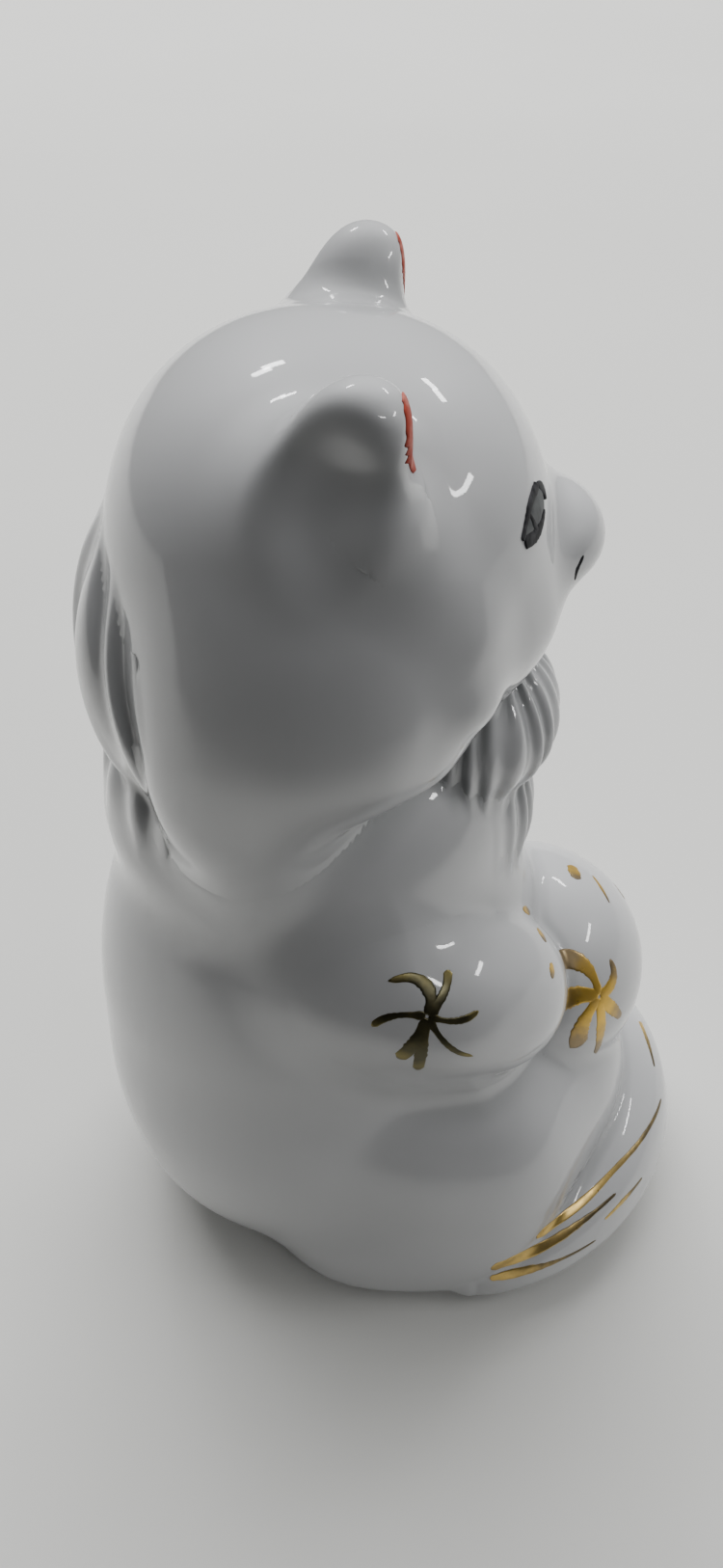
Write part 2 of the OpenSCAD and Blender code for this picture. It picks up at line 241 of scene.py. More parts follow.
def body_form(p):
    """A tall egg, a broad low cushion under it and the shoulders above, luted together and cut flat
    on the floor."""
    trunk = egg(p, (0, body_mid[1] - 0.3, 30), (body_half[0] - 3.1, body_half[1] + 0.1, 40))
    seat = egg(p, (0, 2, 16.5), (body_half[0] - 1.2, 30, 18), 2.4)
    shoulders = egg(p, (0, body_mid[1] + 0.7, BODY_TOP - 11), (18.5, 21, 13))
    clay = luted(luted(trunk, seat, 8), shoulders, 5)
    return pared(clay, -p[..., 2], FLOOR_ARRIS)


lute_ball("body", "torso_shell", body_form, (0, 6, 24), around=320, along=240)

# ---- Haunches -------------------------------------------------------------------------------
# The thighs and hind feet are press-moulded solid and luted to the body's sides. Each is full
# at the knee and spreads flat where it rests on the floor.

for side, node in ((-1, "right_haunch"), (1, "left_haunch")):
    haunch_mid, haunch_half = box_of(node)

    def haunch_form(p, side=side, mid=haunch_mid, half=haunch_half):
        """A full egg for the thigh and a low one for the foot, luted and cut flat on the floor."""
        thigh = egg(p, (side * 14.4, mid[1] + 5.0, half[2] - 0.4),
                    (12.2, half[1] - 1.2, half[2] + 1.0), 2.5)
        foot = egg(p, (side * 15.3, mid[1] + 9.4, 5.5), (11.6, half[1] + 0.9, 7.4), 2.7)
        return pared(luted(thigh, foot, 5), -p[..., 2], FLOOR_ARRIS)

    lute_ball("haunch." + ("right" if side < 0 else "left"), node, haunch_form,
              (side * 15.0, -5.5, 10), fillet=5.0, around=240, along=180)

# ---- Tail -----------------------------------------------------------------------------------
# The tail is a roll of clay, thick in the middle and pointed at both ends. It is bent round the
# feet from the left haunch to the right and pressed to the floor; a comb left shallow furrows.

tail_half = box_of("tail")[1]
TAIL_OVAL = np.array([-1.6, -1.0, 24.0, 25.2])     # middle x and y, half width and half depth
TAIL_ENDS = np.radians([-15.0, -166.0])
TAIL_THICK = tail_half[2] + 0.02
FURROW_DEPTH = 0.10


def tail_radius(t):
    """0.3 of the full thickness at the ends, swelling as a flattened half sine between them."""
    return TAIL_THICK * (0.3 + 0.7 * np.sin(np.pi * np.clip(t, 0, 1)) ** 0.8)


def tail_core(t):
    """The middle line of the tail: an oval on the floor, raised by the tail's own radius."""
    a = TAIL_ENDS[0] + (TAIL_ENDS[1] - TAIL_ENDS[0]) * t
    return np.stack([TAIL_OVAL[0] + TAIL_OVAL[2] * np.cos(a), TAIL_OVAL[1] + TAIL_OVAL[3] * np.sin(a),
                     tail_radius(t) + 0.2], -1)


def tail_form(p):
    """Distance from the core at the same bearing, less the radius, less combed furrows that run
    lengthwise: their depth times the sine of nine times the angle round the roll."""
    a = np.arctan2((p[..., 1] - TAIL_OVAL[1]) / TAIL_OVAL[3], (p[..., 0] - TAIL_OVAL[0]) / TAIL_OVAL[2])
    a = np.where(a > np.pi / 2, a - 2 * np.pi, a)
    t = np.clip((a - TAIL_ENDS[0]) / (TAIL_ENDS[1] - TAIL_ENDS[0]), 0, 1)
    off = p - tail_core(t)
    out = off[..., 0] * np.cos(a) + off[..., 1] * np.sin(a)
    round_it = np.arctan2(off[..., 2], out)
    furrow = FURROW_DEPTH * np.sin(9 * round_it + 4 * t) * np.sin(np.pi * t)
    return pared(np.linalg.norm(off, axis=-1) - tail_radius(t) - furrow, -p[..., 2], FLOOR_ARRIS)


def roll_rays(core, along, around):
    """Rays round a bent roll. Along the middle they stand square to its line; over a short share of
    it at each end they swing to point along it, so that the ends close."""
    v = (np.arange(1, along) / along)[:, None]
    end = 0.06
    t = np.clip((v - end) / (1 - 2 * end), 0, 1)
    swing = np.pi / 2 * (np.clip(v / end, 0, 1) + np.clip((v - 1 + end) / end, 0, 1) - 1)
    ahead = core(np.clip(t + 1e-3, 0, 1)) - core(np.clip(t - 1e-3, 0, 1))
    ahead /= np.linalg.norm(ahead, axis=-1, keepdims=True)
    up = np.array([0, 0, 1.0])
    across = np.cross(ahead, up)
    across /= np.linalg.norm(across, axis=-1, keepdims=True)
    over = np.cross(across, ahead)
    turn = (2 * np.pi * np.arange(around) / around)[None, :, None]
    ring = np.cos(turn) * across - np.sin(turn) * over
    heading = np.cos(swing)[..., None] * ring + np.sin(swing)[..., None] * ahead
    return core(t), heading, ahead


def lute_roll(name, node, form, core, fillet, along=420, around=150):
    """Lutes on a piece whose points will lie on rays round its bent middle line."""
    origin, heading, ahead = roll_rays(core, along, around)
    starts = np.vstack([(origin + 0 * heading).reshape(-1, 3), origin[0], origin[-1]])
    rays = np.vstack([heading.reshape(-1, 3), -ahead[0], ahead[-1]])
    joined.append((form, fillet))
    waiting.append((name, node, form, fillet, starts, rays, heading.shape))


lute_roll("tail", "tail", tail_form, tail_core, 1.0)

# ---- Brocade ball ---------------------------------------------------------------------------
# A round ball of clay held against the chest. It is thrown smooth, because its pattern is painted.

ball_mid, ball_half = box_of("brocade_ball")
BALL_R = ball_half[0]
BALL = np.array([0, ball_mid[1] - ball_half[1] + BALL_R - 0.15, ball_mid[2]])


def ball_form(p):
    """A plain ball."""
    return np.linalg.norm(p - BALL, axis=-1) - BALL_R


lute_ball("brocade_ball", "brocade_ball", ball_form, BALL, fillet=1.4, around=200, along=140)

# ---- Forelegs -------------------------------------------------------------------------------
# Two pressed arms hug the ball. The right paw lies over its top and side, the left one lower;
# at the shoulder the clay is smoothed away into the body.


def roll_form(p, slugs, ease):
    """A run of balls x, y, z, r luted one to the next, so that the roll between them is smooth."""
    d = None
    for x, y, z, r in slugs:
        ball = np.linalg.norm(p - (x, y, z), axis=-1) - r
        d = ball if d is None else luted(ball, d, ease)
    return d


def leg_fillet(p):
    """5.5 mm of smoothing at the shoulder, down to 1.3 mm where the paw lies on the ball."""
    return 1.3 + 4.2 * np.clip((p[..., 1] + 14 + 0.35 * (36 - p[..., 2])) / 8, 0, 1)


LEGS = {"right_foreleg": ((-13.6, 6, 48, 8.6), (-16.2, -1.5, 45.4, 8.6), (-14.0, -7, 41.8, 7.8),
                          (-11.2, -9.2, 39.6, 7.3)),
        "left_foreleg": ((14, 6, 46, 8.8), (16.6, -2, 38, 8.8), (15.2, -8.5, 32, 8.0),
                         (11.4, -14, 28, 7.3))}
for node, slugs in LEGS.items():
    lute_ball("foreleg." + node.split("_")[0], node, lambda p, slugs=slugs: roll_form(p, slugs, 6.0),
              slugs[2][:3], fillet=leg_fillet, around=200, along=150, pole=(0, 1, 0))

# ---- Chest ruff -----------------------------------------------------------------------------
# Two tiers of hair on the chest, each a pressed pad with its locks cut by a modelling tool.


def locks(p, middle, half, count, depth, sweep=0.0):
    """Combed locks: depth times a wave, count to the half turn, in the angle round a squashed
    cylinder. The wave's place is swept forwards with the square of the drop below the middle."""
    angle = np.abs(np.arctan2((p[..., 0] - middle[0]) / half[0], (p[..., 1] - middle[1]) / half[1]))
    drop = np.clip((middle[2] + 0.4 * half[2] - p[..., 2]) / half[2], 0, 2)
    turn = angle - sweep * drop ** 2
    wave = np.sin(count * turn + 1.1 * np.sin(4.3 * turn + 0.7) + 0.5 * np.sin(0.3 * p[..., 2] + 7 * turn))
    return depth * (0.5 - 0.5 * wave) * (0.75 + 0.25 * np.sin(5.7 * turn + 0.1 * p[..., 2]))


ruff_low_mid = box_of("chest_ruff_lower")[0]
ruff_up_mid = box_of("chest_ruff_upper")[0]
RUFF_LOCKS, RUFF_DEPTH = 23, 0.7
RUFF_LOW = np.array([0, ruff_low_mid[1] + 4.3, ruff_low_mid[2] - 1.5]), np.array([10, 8.8, 12])
RUFF_UP = np.array([0, ruff_up_mid[1] + 1.05, ruff_up_mid[2] - 0.2]), np.array([11, 8.8, 8.8])


def ruff_lower_form(p):
    """A tall egg with locks."""
    return egg(p, *RUFF_LOW) + locks(p, *RUFF_LOW, RUFF_LOCKS, RUFF_DEPTH)


def ruff_upper_form(p):
    """A rounder egg with locks."""
    return egg(p, *RUFF_UP) + locks(p, *RUFF_UP, RUFF_LOCKS, RUFF_DEPTH)


lute_ball("ruff.lower", "chest_ruff_lower", ruff_lower_form, RUFF_LOW[0], fillet=1.2,
          around=360, along=120)
lute_ball("ruff.upper", "chest_ruff_upper", ruff_upper_form, RUFF_UP[0], fillet=2.0,
          around=360, along=120)

# ---- Head -----------------------------------------------------------------------------------
# The head is a second cast shell, set on the body's collar. It has a high round crown, full
# cheeks and a short blunt snout.

head_half = box_of("head_shell")[1]


def head_form(p):
    """A full egg for the skull, with the snout, two cheeks and the neck luted on."""
    both = np.concatenate([np.abs(p[..., :1]), p[..., 1:]], -1)
    skull = egg(p, (0, 7.3, 88.3), (head_half[0], 19.7, 19.3), 2.2)
    snout = egg(p, (0, -11, 88.8), (7.2, 6.4, 4.9))
    cheek = egg(both, (6.0, -4.0, 85.4), (8, 8, 6.2))
    neck = egg(p, (0, 8, 74), (13, 14, 8))
    return luted(luted(luted(skull, snout, 2.2), cheek, 4), neck, 4)


lute_ball("head", "head_shell", head_form, (0, 5, 88), fillet=2.5, around=320, along=240)

# ---- Ears -----------------------------------------------------------------------------------
# The ears are pinched up from small cones, pressed flat in front and luted to the crown.

EAR_TIP_Y = {-1: 4.9, 1: 2.8}                # the right ear was luted on 2 mm further back

for side, node in ((-1, "right_ear"), (1, "left_ear")):
    ear_mid, ear_half = box_of(node)

    def ear_form(p, side=side, top=ear_mid[2] + ear_half[2], tip_y=EAR_TIP_Y[side]):
        """A cone of luted balls, pressed flat in front, with a thumb-mark in its outer side."""
        slugs = ((side * 13.2, tip_y + 3.8, top - 12.5, 6.4), (side * 15.8, tip_y + 2.6, top - 8.5, 5.0),
                 (side * 16.6, tip_y + 1.2, top - 5.1, 3.8), (side * 16.9, tip_y, top - 3.0, 3.0))
        cone = pared(roll_form(p, slugs, 3.5), -(p[..., 1] - tip_y + 3.2), 1.2)
        return pared(cone, -egg(p, (side * 25.2, tip_y + 4.6, top - 7.6), (7.6, 7.2, 9.0)), 3.2)

    lute_ball("ear." + ("right" if side < 0 else "left"), node, ear_form, (side * 14.5, 5.5, 98.5),
              fillet=3.5, around=200, along=150, pole=(side * 0.05, -0.3, 1))

# ---- Mane -----------------------------------------------------------------------------------
# Lobes of hair hang under the ears, and a long tress covers the back of the neck with a second
# tier of hair ends below it. All are pressed pads with the locks drawn in by a tool.

for side, node in ((-1, "right_side_mane"), (1, "left_side_mane")):
    lobe_mid = box_of(node)[0]

    def lobe_form(p, side=side, mid=lobe_mid):
        """An egg leaning out under the ear, a longer one behind it that falls to the shoulder, and a
        ridge that carries the ear's front edge down to the throat."""
        front = egg(p, (side * 13.0, mid[1] - 0.4, mid[2] + 4.6), (10.8, 11, 12.4), 2.2)
        back = egg(p, (side * 12.2, mid[1] + 7.5, mid[2] - 2.6), (9.2, 9.3, 16.0), 2.2)
        ridge = roll_form(p, ((side * 17.4, 3.6, 99, 2.6), (side * 17.0, 1.2, 94, 2.6),
                              (side * 16.8, -2.0, 89, 2.6), (side * 17.4, -2.6, 83.5, 2.8),
                              (side * 16.6, 0.8, 78, 3.0)), 3.5)
        return luted(ridge, luted(back, front, 6), 2.5)

    lute_ball("mane." + ("right" if side < 0 else "left"), node, lobe_form, (side * 12.6, 9, 80),
              fillet=4.0, around=260, along=190)

nape_low_mid = box_of("nape_mane_lower")[0]
nape_up_mid = box_of("nape_mane_upper")[0]
NAPE_LOW = np.array([0, nape_low_mid[1] - 3.5, nape_low_mid[2] - 1.2]), np.array([14.5, 11, 10.5])
NAPE_UP = np.array([0, nape_up_mid[1] - 2.2, nape_up_mid[2] - 8.2]), np.array([16, 9.9, 16.5])


def behind(p):
    """From 0 at the sides of the neck to 1 at the back of it."""
    return np.clip((p[..., 1] - 18) / 5, 0, 1)


def nape_lower_form(p):
    """A wide low egg with deep locks that fade towards the sides."""
    return egg(p, *NAPE_LOW) + locks(p, *NAPE_LOW, 17, 1.0) * behind(p)


def nape_upper_form(p):
    """A tall egg with deep locks that sweep forwards at their ends and fade towards the sides."""
    return egg(p, *NAPE_UP) + locks(p, *NAPE_UP, 15, 1.1, 0.2) * behind(p)


lute_ball("nape.lower", "nape_mane_lower", nape_lower_form, NAPE_LOW[0], fillet=1.2,
          around=360, along=120)
lute_ball("nape.upper", "nape_mane_upper", nape_upper_form, NAPE_UP[0], fillet=1.4,
          around=360, along=160)

# ---- Glaze ----------------------------------------------------------------------------------
# The clear glaze is poured over the joined figure and fired with it, so it runs in one skin across
# the joins and pools in the creases, where its colour is darkened far past pooled glaze as painted shade.


FAR_OUT = 70.0                               # rays start this far out, past every piece
NEAREST = 0.02                               # rays stop this far from the core at the least
STEPS, STRIDE = 16, 0.9                      # how often a ray steps in, and by what share
MARGIN = 2.6                                 # the first run of steps stops this far off the clay
NEARBY = 7                                   # clay further than this from a piece can't reach it
PAST_CREASE = 0.45                           # how far a piece runs on under its neighbour
SUNK = 0.06                                  # how much lower it lies there than the neighbour


def glazed_points(form, fillet, starts, rays):
    """Where rays from inside a piece leave the glazed figure. At a crease a quarter of the fillet
    lies over the piece's own form, so the piece ends a little past that, and it is sunk slightly
    where another form is nearer. The foot is wiped flat at the height of the floor. Each ray
    starts outside and steps in by the distance left."""
    far = np.full(len(rays), FAR_OUT)
    for _ in range(STEPS):
        far = np.maximum(far - np.maximum(form(starts + far[:, None] * rays) - MARGIN, 0), NEAREST)
    edge = starts + far[:, None] * rays
    others = [(f, w) for f, w in joined if f is form or f(edge).min() < NEARBY]
    for _ in range(STEPS):
        p = starts + far[:, None] * rays
        own, own_width = form(p), fillet(p) if callable(fillet) else fillet
        whole, nearest, crease, later = None, np.full(len(p), 9.0), np.full(len(p), 1.5), False
        for other, width in others:
            width = width(p) if callable(width) else width
            d = own if other is form else other(p)
            if other is not form:
                crease = np.where(d < nearest, width if later else own_width, crease)
                nearest = np.minimum(nearest, d)
            later = later or other is form
            whole = d if whole is None else luted(d, whole, width)
        sunk = SUNK * np.clip(0.5 + (own - nearest) / 3, 0, 1)
        past = own - PAST_CREASE - crease / 4
        cut = np.maximum(np.maximum(whole + sunk, past), -p[:, 2])
        far = np.maximum(far - STRIDE * np.clip(cut, -3, 3), NEAREST)
    return starts + far[:, None] * rays


for name, node, form, fillet, starts, rays, grid in waiting:
    points = glazed_points(form, fillet, starts, rays)
    mesh = smooth_mesh(name, *lattice(points[:-2].reshape(grid), points[-2], points[-1]))
    add_recess(mesh)
    place(mesh, [node], glaze)

# ---- Gilding --------------------------------------------------------------------------------
# Bright gold is brushed over the fired glaze and fired again at a low heat. It is a thin lustre
# that shows the brush, thin and brown at the tail of a stroke. The whorls stand for fur tufts.

GOLD_THICK = 0.05
UNDER = 0.08                                 # how deep the under side of a stroke lies in the glaze
AROUND = 16                                  # points round a stroke
CLEARANCE = 3.0


def onto_skin(points, rays):
    """Moves points along their rays onto the glazed skin, from a clearance outside it, and gives the
    skin's outward normals there as the slope of the distance."""
    far = np.full(len(points), -CLEARANCE)
    for _ in range(18):
        far = far + 0.85 * np.clip(skin(points + far[:, None] * rays), -2, 2)
    points = points + far[:, None] * rays
    step = 0.05 * np.eye(3)
    out = np.stack([skin(points + d) - skin(points - d) for d in step], -1)
    return points, out / np.linalg.norm(out, axis=-1, keepdims=True)


def curve_through(knots, count):
    """A smooth line through the knots: the Catmull-Rom blend of each four neighbours, whose weights
    are cubics in the share of the way from the second to the third."""
    k = np.array(knots, float)
    k = np.vstack([2 * k[0] - k[1], k, 2 * k[-1] - k[-2]])
    at = np.linspace(0, len(k) - 3 - 1e-6, count)
    i, u = at.astype(int), (at % 1)[:, None]
    a, b, c, d = k[i], k[i + 1], k[i + 2], k[i + 3]
    square, cube = 2 * a - 5 * b + 4 * c - d, 3 * b - a - 3 * c + d
    return 0.5 * (2 * b + (c - a) * u + square * u ** 2 + cube * u ** 3)


def brush_stroke(knots, widths, rays, thick=GOLD_THICK, count=60):
    """Rings of a brush stroke. A flat lens is carried along the knots' curve, as wide as the widths
    along it. Its upper side stands off the skin by thick times the root of the sine of the angle
    round the lens, and its lower side lies in the glaze by UNDER times the sine. Returns the rings,
    both end points and the share of the way along."""
    line = curve_through(knots, count)
    share = np.linspace(0, 1, count)
    width = np.interp(share, np.linspace(0, 1, len(widths)), widths)
    width = width * np.clip(np.minimum(share, 1 - share) * count / 2.0, 0.12, 1) ** 0.5
    rays = np.array(rays, float)
    rays = curve_through(rays, count) if rays.ndim == 2 else rays + 0 * line
    rays /= np.linalg.norm(rays, axis=-1, keepdims=True)
    along = np.gradient(line, axis=0)
    across = np.cross(along, rays)
    across /= np.linalg.norm(across, axis=-1, keepdims=True)
    turn = 2 * np.pi * np.arange(AROUND) / AROUND
    ragged = 1 + 0.07 * np.sin(37 * share + 3 * np.sin(11 * share))
    sideways = (width * ragged / 2)[:, None, None] * np.cos(turn)[None, :, None]
    flat = (line[:, None] + sideways * across[:, None]).reshape(-1, 3)
    at, out = onto_skin(flat, np.repeat(rays, AROUND, 0))
    above, below = np.clip(np.sin(turn), 0, 1), np.clip(-np.sin(turn), 0, 1)
    lift = thick * above ** 0.5 - UNDER * below
    rings = at.reshape(count, AROUND, 3) + lift[None, :, None] * out.reshape(count, AROUND, 3)
    return rings, rings[0].mean(0), rings[-1].mean(0), share


def merged(name, strokes):
    """One mesh of several strokes, with the attribute stroke_way giving the way along each."""
    points, quads, fans, way, offset = [], [], [], [], 0
    for rings, first, last, share in strokes:
        at, fours, threes = lattice(rings, first, last)
        points.append(at)
        quads.append(fours + offset)
        fans.append(threes + offset)
        way.append(np.concatenate([np.repeat(share, AROUND), [0, 1]]))
        offset += len(at)
    mesh = smooth_mesh(name, np.vstack(points), np.vstack(quads), np.vstack(fans))
    way = np.concatenate(way).astype(np.float32)
    mesh.attributes.new("stroke_way", "FLOAT", "POINT").data.foreach_set("value", way)
    return mesh


def lustre(name, fresh, worn, wear):
    """Gold lustre: polished metal whose colour drifts from fresh to worn gold along the stroke and
    in patches, with fine brush lines in its roughness and bump."""
    material = bpy.data.materials.new(name)
    material.use_nodes = True
    make, nodes, links = node_maker(material)
    surface = nodes["Principled BSDF"]
    at = make("TexCoord").outputs["Object"]
    patch = make("TexNoise", Vector=at, Scale=700.0, Detail=4.0)
    way = make("Attribute", attribute_name="stroke_way")
    thin = make("MapRange", Value=way.outputs["Fac"], From_Min=wear, From_Max=1.0)
    mixed = make("Math", operation="MULTIPLY_ADD")
    links.new(patch.outputs["Fac"], mixed.inputs[0])
    mixed.inputs[1].default_value = 0.9
    links.new(thin.outputs["Result"], mixed.inputs[2])
    edge = make("MapRange", Value=mixed.outputs[0], From_Min=0.42, From_Max=1.15)
    tone = make("Mix", data_type="RGBA")
    links.new(edge.outputs["Result"], tone.inputs["Factor"])
    tone.inputs["A"].default_value, tone.inputs["B"].default_value = (*fresh, 1), (*worn, 1)
    links.new(tone.outputs["Result"], surface.inputs["Base Color"])
    surface.inputs["Metallic"].default_value = 0.92
    rough = make("MapRange", Value=patch.outputs["Fac"], To_Min=0.2, To_Max=0.42)
    links.new(rough.outputs["Result"], surface.inputs["Roughness"])
    bump = make("Bump", Height=patch.outputs["Fac"], Strength=0.25, Distance=0.0001)
    links.new(bump.outputs["Normal"], surface.inputs["Normal"])
    return material


gold = lustre("gold lustre", (0.66, 0.42, 0.08), (0.24, 0.18, 0.10), 0.4)
worn_gold = lustre("gold lustre, worn", (0.70, 0.49, 0.16), (0.15, 0.12, 0.07), 0.15)
# This gold is near black: a painted dark reflection, the same from every side.
dark_reflection_gold = lustre("gold lustre, painted dark reflection", (0.085, 0.078, 0.045), (0.20, 0.17, 0.07), 0.75)


def around_facing(facing):
    """Two axes square to facing: across, level, to the right as seen from outside, and over, up."""
    facing = np.array(facing, float) / np.linalg.norm(facing)
    across = np.cross((0, 0, 1), facing)
    across /= np.linalg.norm(across)
    return facing, across, np.cross(facing, across)


def whorl(middle, facing, radius, arms):
    """A whorl: each arm (bearing, length, hook, widths) leaves the middle at its bearing and bends by
    the hook, in degrees, towards its end. Bearings turn anticlockwise as seen from outside."""
    facing, across, over = around_facing(facing)
    strokes = []
    for bearing, length, hook, widths in arms:
        u = np.linspace(0.03, 1, 6)
        angle = np.radians(bearing + hook * u ** 2)
        reach = radius * length * u
        knots = middle + (reach * np.cos(angle))[:, None] * across + (reach * np.sin(angle))[:, None] * over
        strokes.append(brush_stroke(knots, widths, -facing, count=34))
    return strokes


SHOULDER_ARMS = ((66, 0.92, 66, (1.1, 1.1, 1.4, 1.1, 0.5)), (44, 0.84, 14, (1.6, 1.0, 0.9, 0.9)),
                 (-24, 0.92, 20, (1.1, 0.6, 0.7, 0.9, 0.5)), (-66, 1.26, 16, (1.0, 0.6, 0.6, 0.6, 0.3)),
                 (-112, 1.0, -8, (1.0, 1.2, 1.6, 1.3)), (-100, 1.2, 3, (0.9, 1.0, 1.3, 1.0)),
                 (168, 0.95, 20, (1.1, 0.7, 0.6, 0.9, 0.7)))
BALL_ARMS = ((88, 1.12, 34, (1.1, 1.0, 1.5, 2.2, 1.8)), (146, 0.96, 30, (1.2, 2.0, 2.5, 2.1)),
             (-146, 1.0, 28, (1.2, 1.5, 2.0, 2.5, 2.0)), (-92, 1.36, 2, (1.1, 1.4, 1.4, 1.1, 0.8)),
             (-56, 0.9, 0, (1.5, 1.6, 1.4, 0.8)), (4, 0.68, 44, (1.4, 1.6, 1.3, 0.5)))

# The shoulder whorls are gilded in near-black gold, a painted dark reflection.
for side, node in ((-1, "right_shoulder_whorl"), (1, "left_shoulder_whorl")):
    arms = [(a if side < 0 else 180 - a, n, h * -side, w) for a, n, h, w in SHOULDER_ARMS]
    marks = whorl((side * 23.4, -0.6, 50.0), (side * 0.87, -0.08, 0.49), 5.6, arms)
    place(merged("whorl." + ("right" if side < 0 else "left"), marks), [node], dark_reflection_gold)

# The ball has a whorl on each side of its front, with a dab and a line on its top.
marks = []
for facing in ((-0.78, -0.46, 0.42), (0.50, -0.86, 0.10)):
    marks += whorl(BALL + BALL_R * np.array(facing), facing, 6.3, BALL_ARMS)
for start, end, width in (((0.17, -0.36, 0.92), (0.0, -0.37, 0.93), (1.2, 1.7, 1.2)),
                          ((0.12, -0.53, 0.84), (-0.12, -0.63, 0.77), (0.3, 0.6, 0.3))):
    run = np.array((start, end))
    marks.append(brush_stroke(BALL + BALL_R * run, width, -run, count=20))
place(merged("whorls.ball", marks), ["ball_whorls"], gold)

# Three short dabs across the end of each paw are its claws.
right_dabs = (((-8.1, -12.2, 47.6), (-7.0, -13.4, 46.2)), ((-10.6, -13.4, 47.4), (-12.4, -14.0, 47.2)),
              ((-14.8, -14.4, 46.8), (-16.4, -14.2, 46.2)))
left_paw = np.array(LEGS["left_foreleg"][3][:3])
marks = [brush_stroke(dab, (0.6, 1.1, 0.6), (0.1, 0.7, -0.7), count=16) for dab in right_dabs]
for turn in (-38, 0, 38):
    a = np.radians(turn)
    facing = np.array((0.1 + 0.75 * np.sin(a), -0.9, 0.35 + 0.75 * np.cos(a) * 0.3 - 0.4 * np.sin(a)))
    dab = left_paw + 7.3 * np.stack([facing, facing + (0.03, 0, 0.2)]) / np.linalg.norm(facing)
    marks.append(brush_stroke(dab, (0.5, 0.9, 0.5), -facing, count=16))
place(merged("claws", marks), ["forepaw_claws"], gold)

# Brush strokes run along the tail from its tip: each is a run of (bearing, lift) in degrees.
TAIL_STROKES = ((((-151, 62), (-137, 58), (-127, 54), (-118, 46), (-109, 38), (-104, 34)),
                 (0.8, 1.1, 0.7, 0.6, 0.5, 0.3)),
                (((-163, 58), (-149, 46), (-138, 42), (-130, 38)), (0.8, 1.4, 1.0, 0.5, 0.3)),
                (((-163, 38), (-156, 27), (-149, 18), (-138, 8)), (0.8, 1.5, 1.1, 0.5, 0.3)),
                (((-135, 26), (-129, 25), (-122, 21)), (0.3, 0.7, 0.3)),
                (((-84, 48), (-90, 47), (-97, 44)), (0.7, 0.7, 0.3)))
marks = []
for run, widths in TAIL_STROKES:
    bearing, lift = np.radians(np.array(run, float)).T
    t = (bearing - TAIL_ENDS[0]) / (TAIL_ENDS[1] - TAIL_ENDS[0])
    out = np.stack([np.cos(lift) * np.cos(bearing), np.cos(lift) * np.sin(bearing), np.sin(lift)], -1)
    marks.append(brush_stroke(tail_core(t) + tail_radius(t)[:, None] * out, widths, -out, count=80))
place(merged("strokes.tail", marks), ["tail_strokes"], worn_gold)

# ---- Enamels --------------------------------------------------------------------------------
# Black, grey and red enamels are painted on over the glaze: an eye on each side of the snout, the
# line of the mouth, and the inside of the ears. The strokes are uneven and satin, not glossy.


def enamel(name, thick, thin, grain=900.0):
    """Brushed enamel: a satin colour between thick and thin, in patches finer than the stroke."""
    material = bpy.data.materials.new(name)
    material.use_nodes = True
    make, nodes, links = node_maker(material)
    surface = nodes["Principled BSDF"]
    patch = make("TexNoise", Vector=make("TexCoord").outputs["Object"], Scale=grain, Detail=3.0)
    share = make("MapRange", Value=patch.outputs["Fac"], From_Min=0.42, From_Max=0.72)
    tone = make("Mix", data_type="RGBA")
    links.new(share.outputs["Result"], tone.inputs["Factor"])
    tone.inputs["A"].default_value, tone.inputs["B"].default_value = (*thick, 1), (*thin, 1)
    links.new(tone.outputs["Result"], surface.inputs["Base Color"])
    surface.inputs["Roughness"].default_value = 0.5
    surface.inputs["Specular IOR Level"].default_value = 0.1
    return material


black = enamel("black enamel", (0.012, 0.012, 0.014), (0.06, 0.06, 0.065))
grey = enamel("grey enamel", (0.06, 0.063, 0.066), (0.14, 0.147, 0.147), 500.0)
red = enamel("red enamel", (0.36, 0.055, 0.035), (0.58, 0.24, 0.20), 600.0)

for side, name in ((-1, "right"), (1, "left")):
    facing = np.array((side * 0.42, -0.82, 0.38))

    def painted(run, widths, thick, side=side, facing=facing):
        """A stroke on the face, through points given by their distance from the middle and height."""
        knots = [(side * out, -8.9 + 0.42 * (out - 10.4), high) for out, high in run]
        return brush_stroke(knots, widths, -facing, thick=thick)

    iris = painted(((7.9, 97.2), (9.4, 96.5), (11.2, 96.0), (12.9, 95.6)), (0.8, 2.6, 2.7, 2.3, 1.0), 0.12)
    place(merged("iris." + name, [iris]), [name + "_eye_iris"], grey)
    lids = [painted(((8.5, 97.8), (7.6, 96.9), (7.6, 95.9)), (0.4, 1.2, 1.1, 0.5), 0.17),
            painted(((8.7, 95.5), (10.1, 94.9), (11.6, 94.8), (13.2, 95.2)), (0.5, 0.8, 1.1, 1.3, 1.1), 0.17),
            painted(((11.5, 96.8), (11.3, 95.8), (11.1, 95.0)), (0.4, 0.8, 0.7), 0.17),
            painted(((8.5, 97.8), (10.6, 97.4), (12.4, 96.4), (13.4, 95.5)), (0.9, 0.8, 0.5, 0.5), 0.17)]
    place(merged("eye." + name, lids), [name + "_eye_outline"], black)
    tip_y = EAR_TIP_Y[side]
    lining = [brush_stroke(((side * 16.8, tip_y - 2.6, 109.2), (side * 17.0, tip_y - 3.0, 107.4),
                            (side * 17.0, tip_y - 3.0, 105.4), (side * 16.8, tip_y - 3.0, 103.4)),
                           (1.6, 4.8, 4.4, 0.9), (0, 1, -0.1), thick=0.14)]
    place(merged("lining." + name, lining), [name + "_ear_lining"], red)

mouth = [brush_stroke(((side * 6.1, -14.4, 89.6), (side * 6.6, -13.8, 88.6), (side * 6.5, -13.6, 87.6)),
                      (0.3, 0.5, 0.2), (-side * 0.82, 0.55, 0.1), count=24) for side in (-1, 1)]
place(merged("mouth", mouth), ["mouth_line"], black)

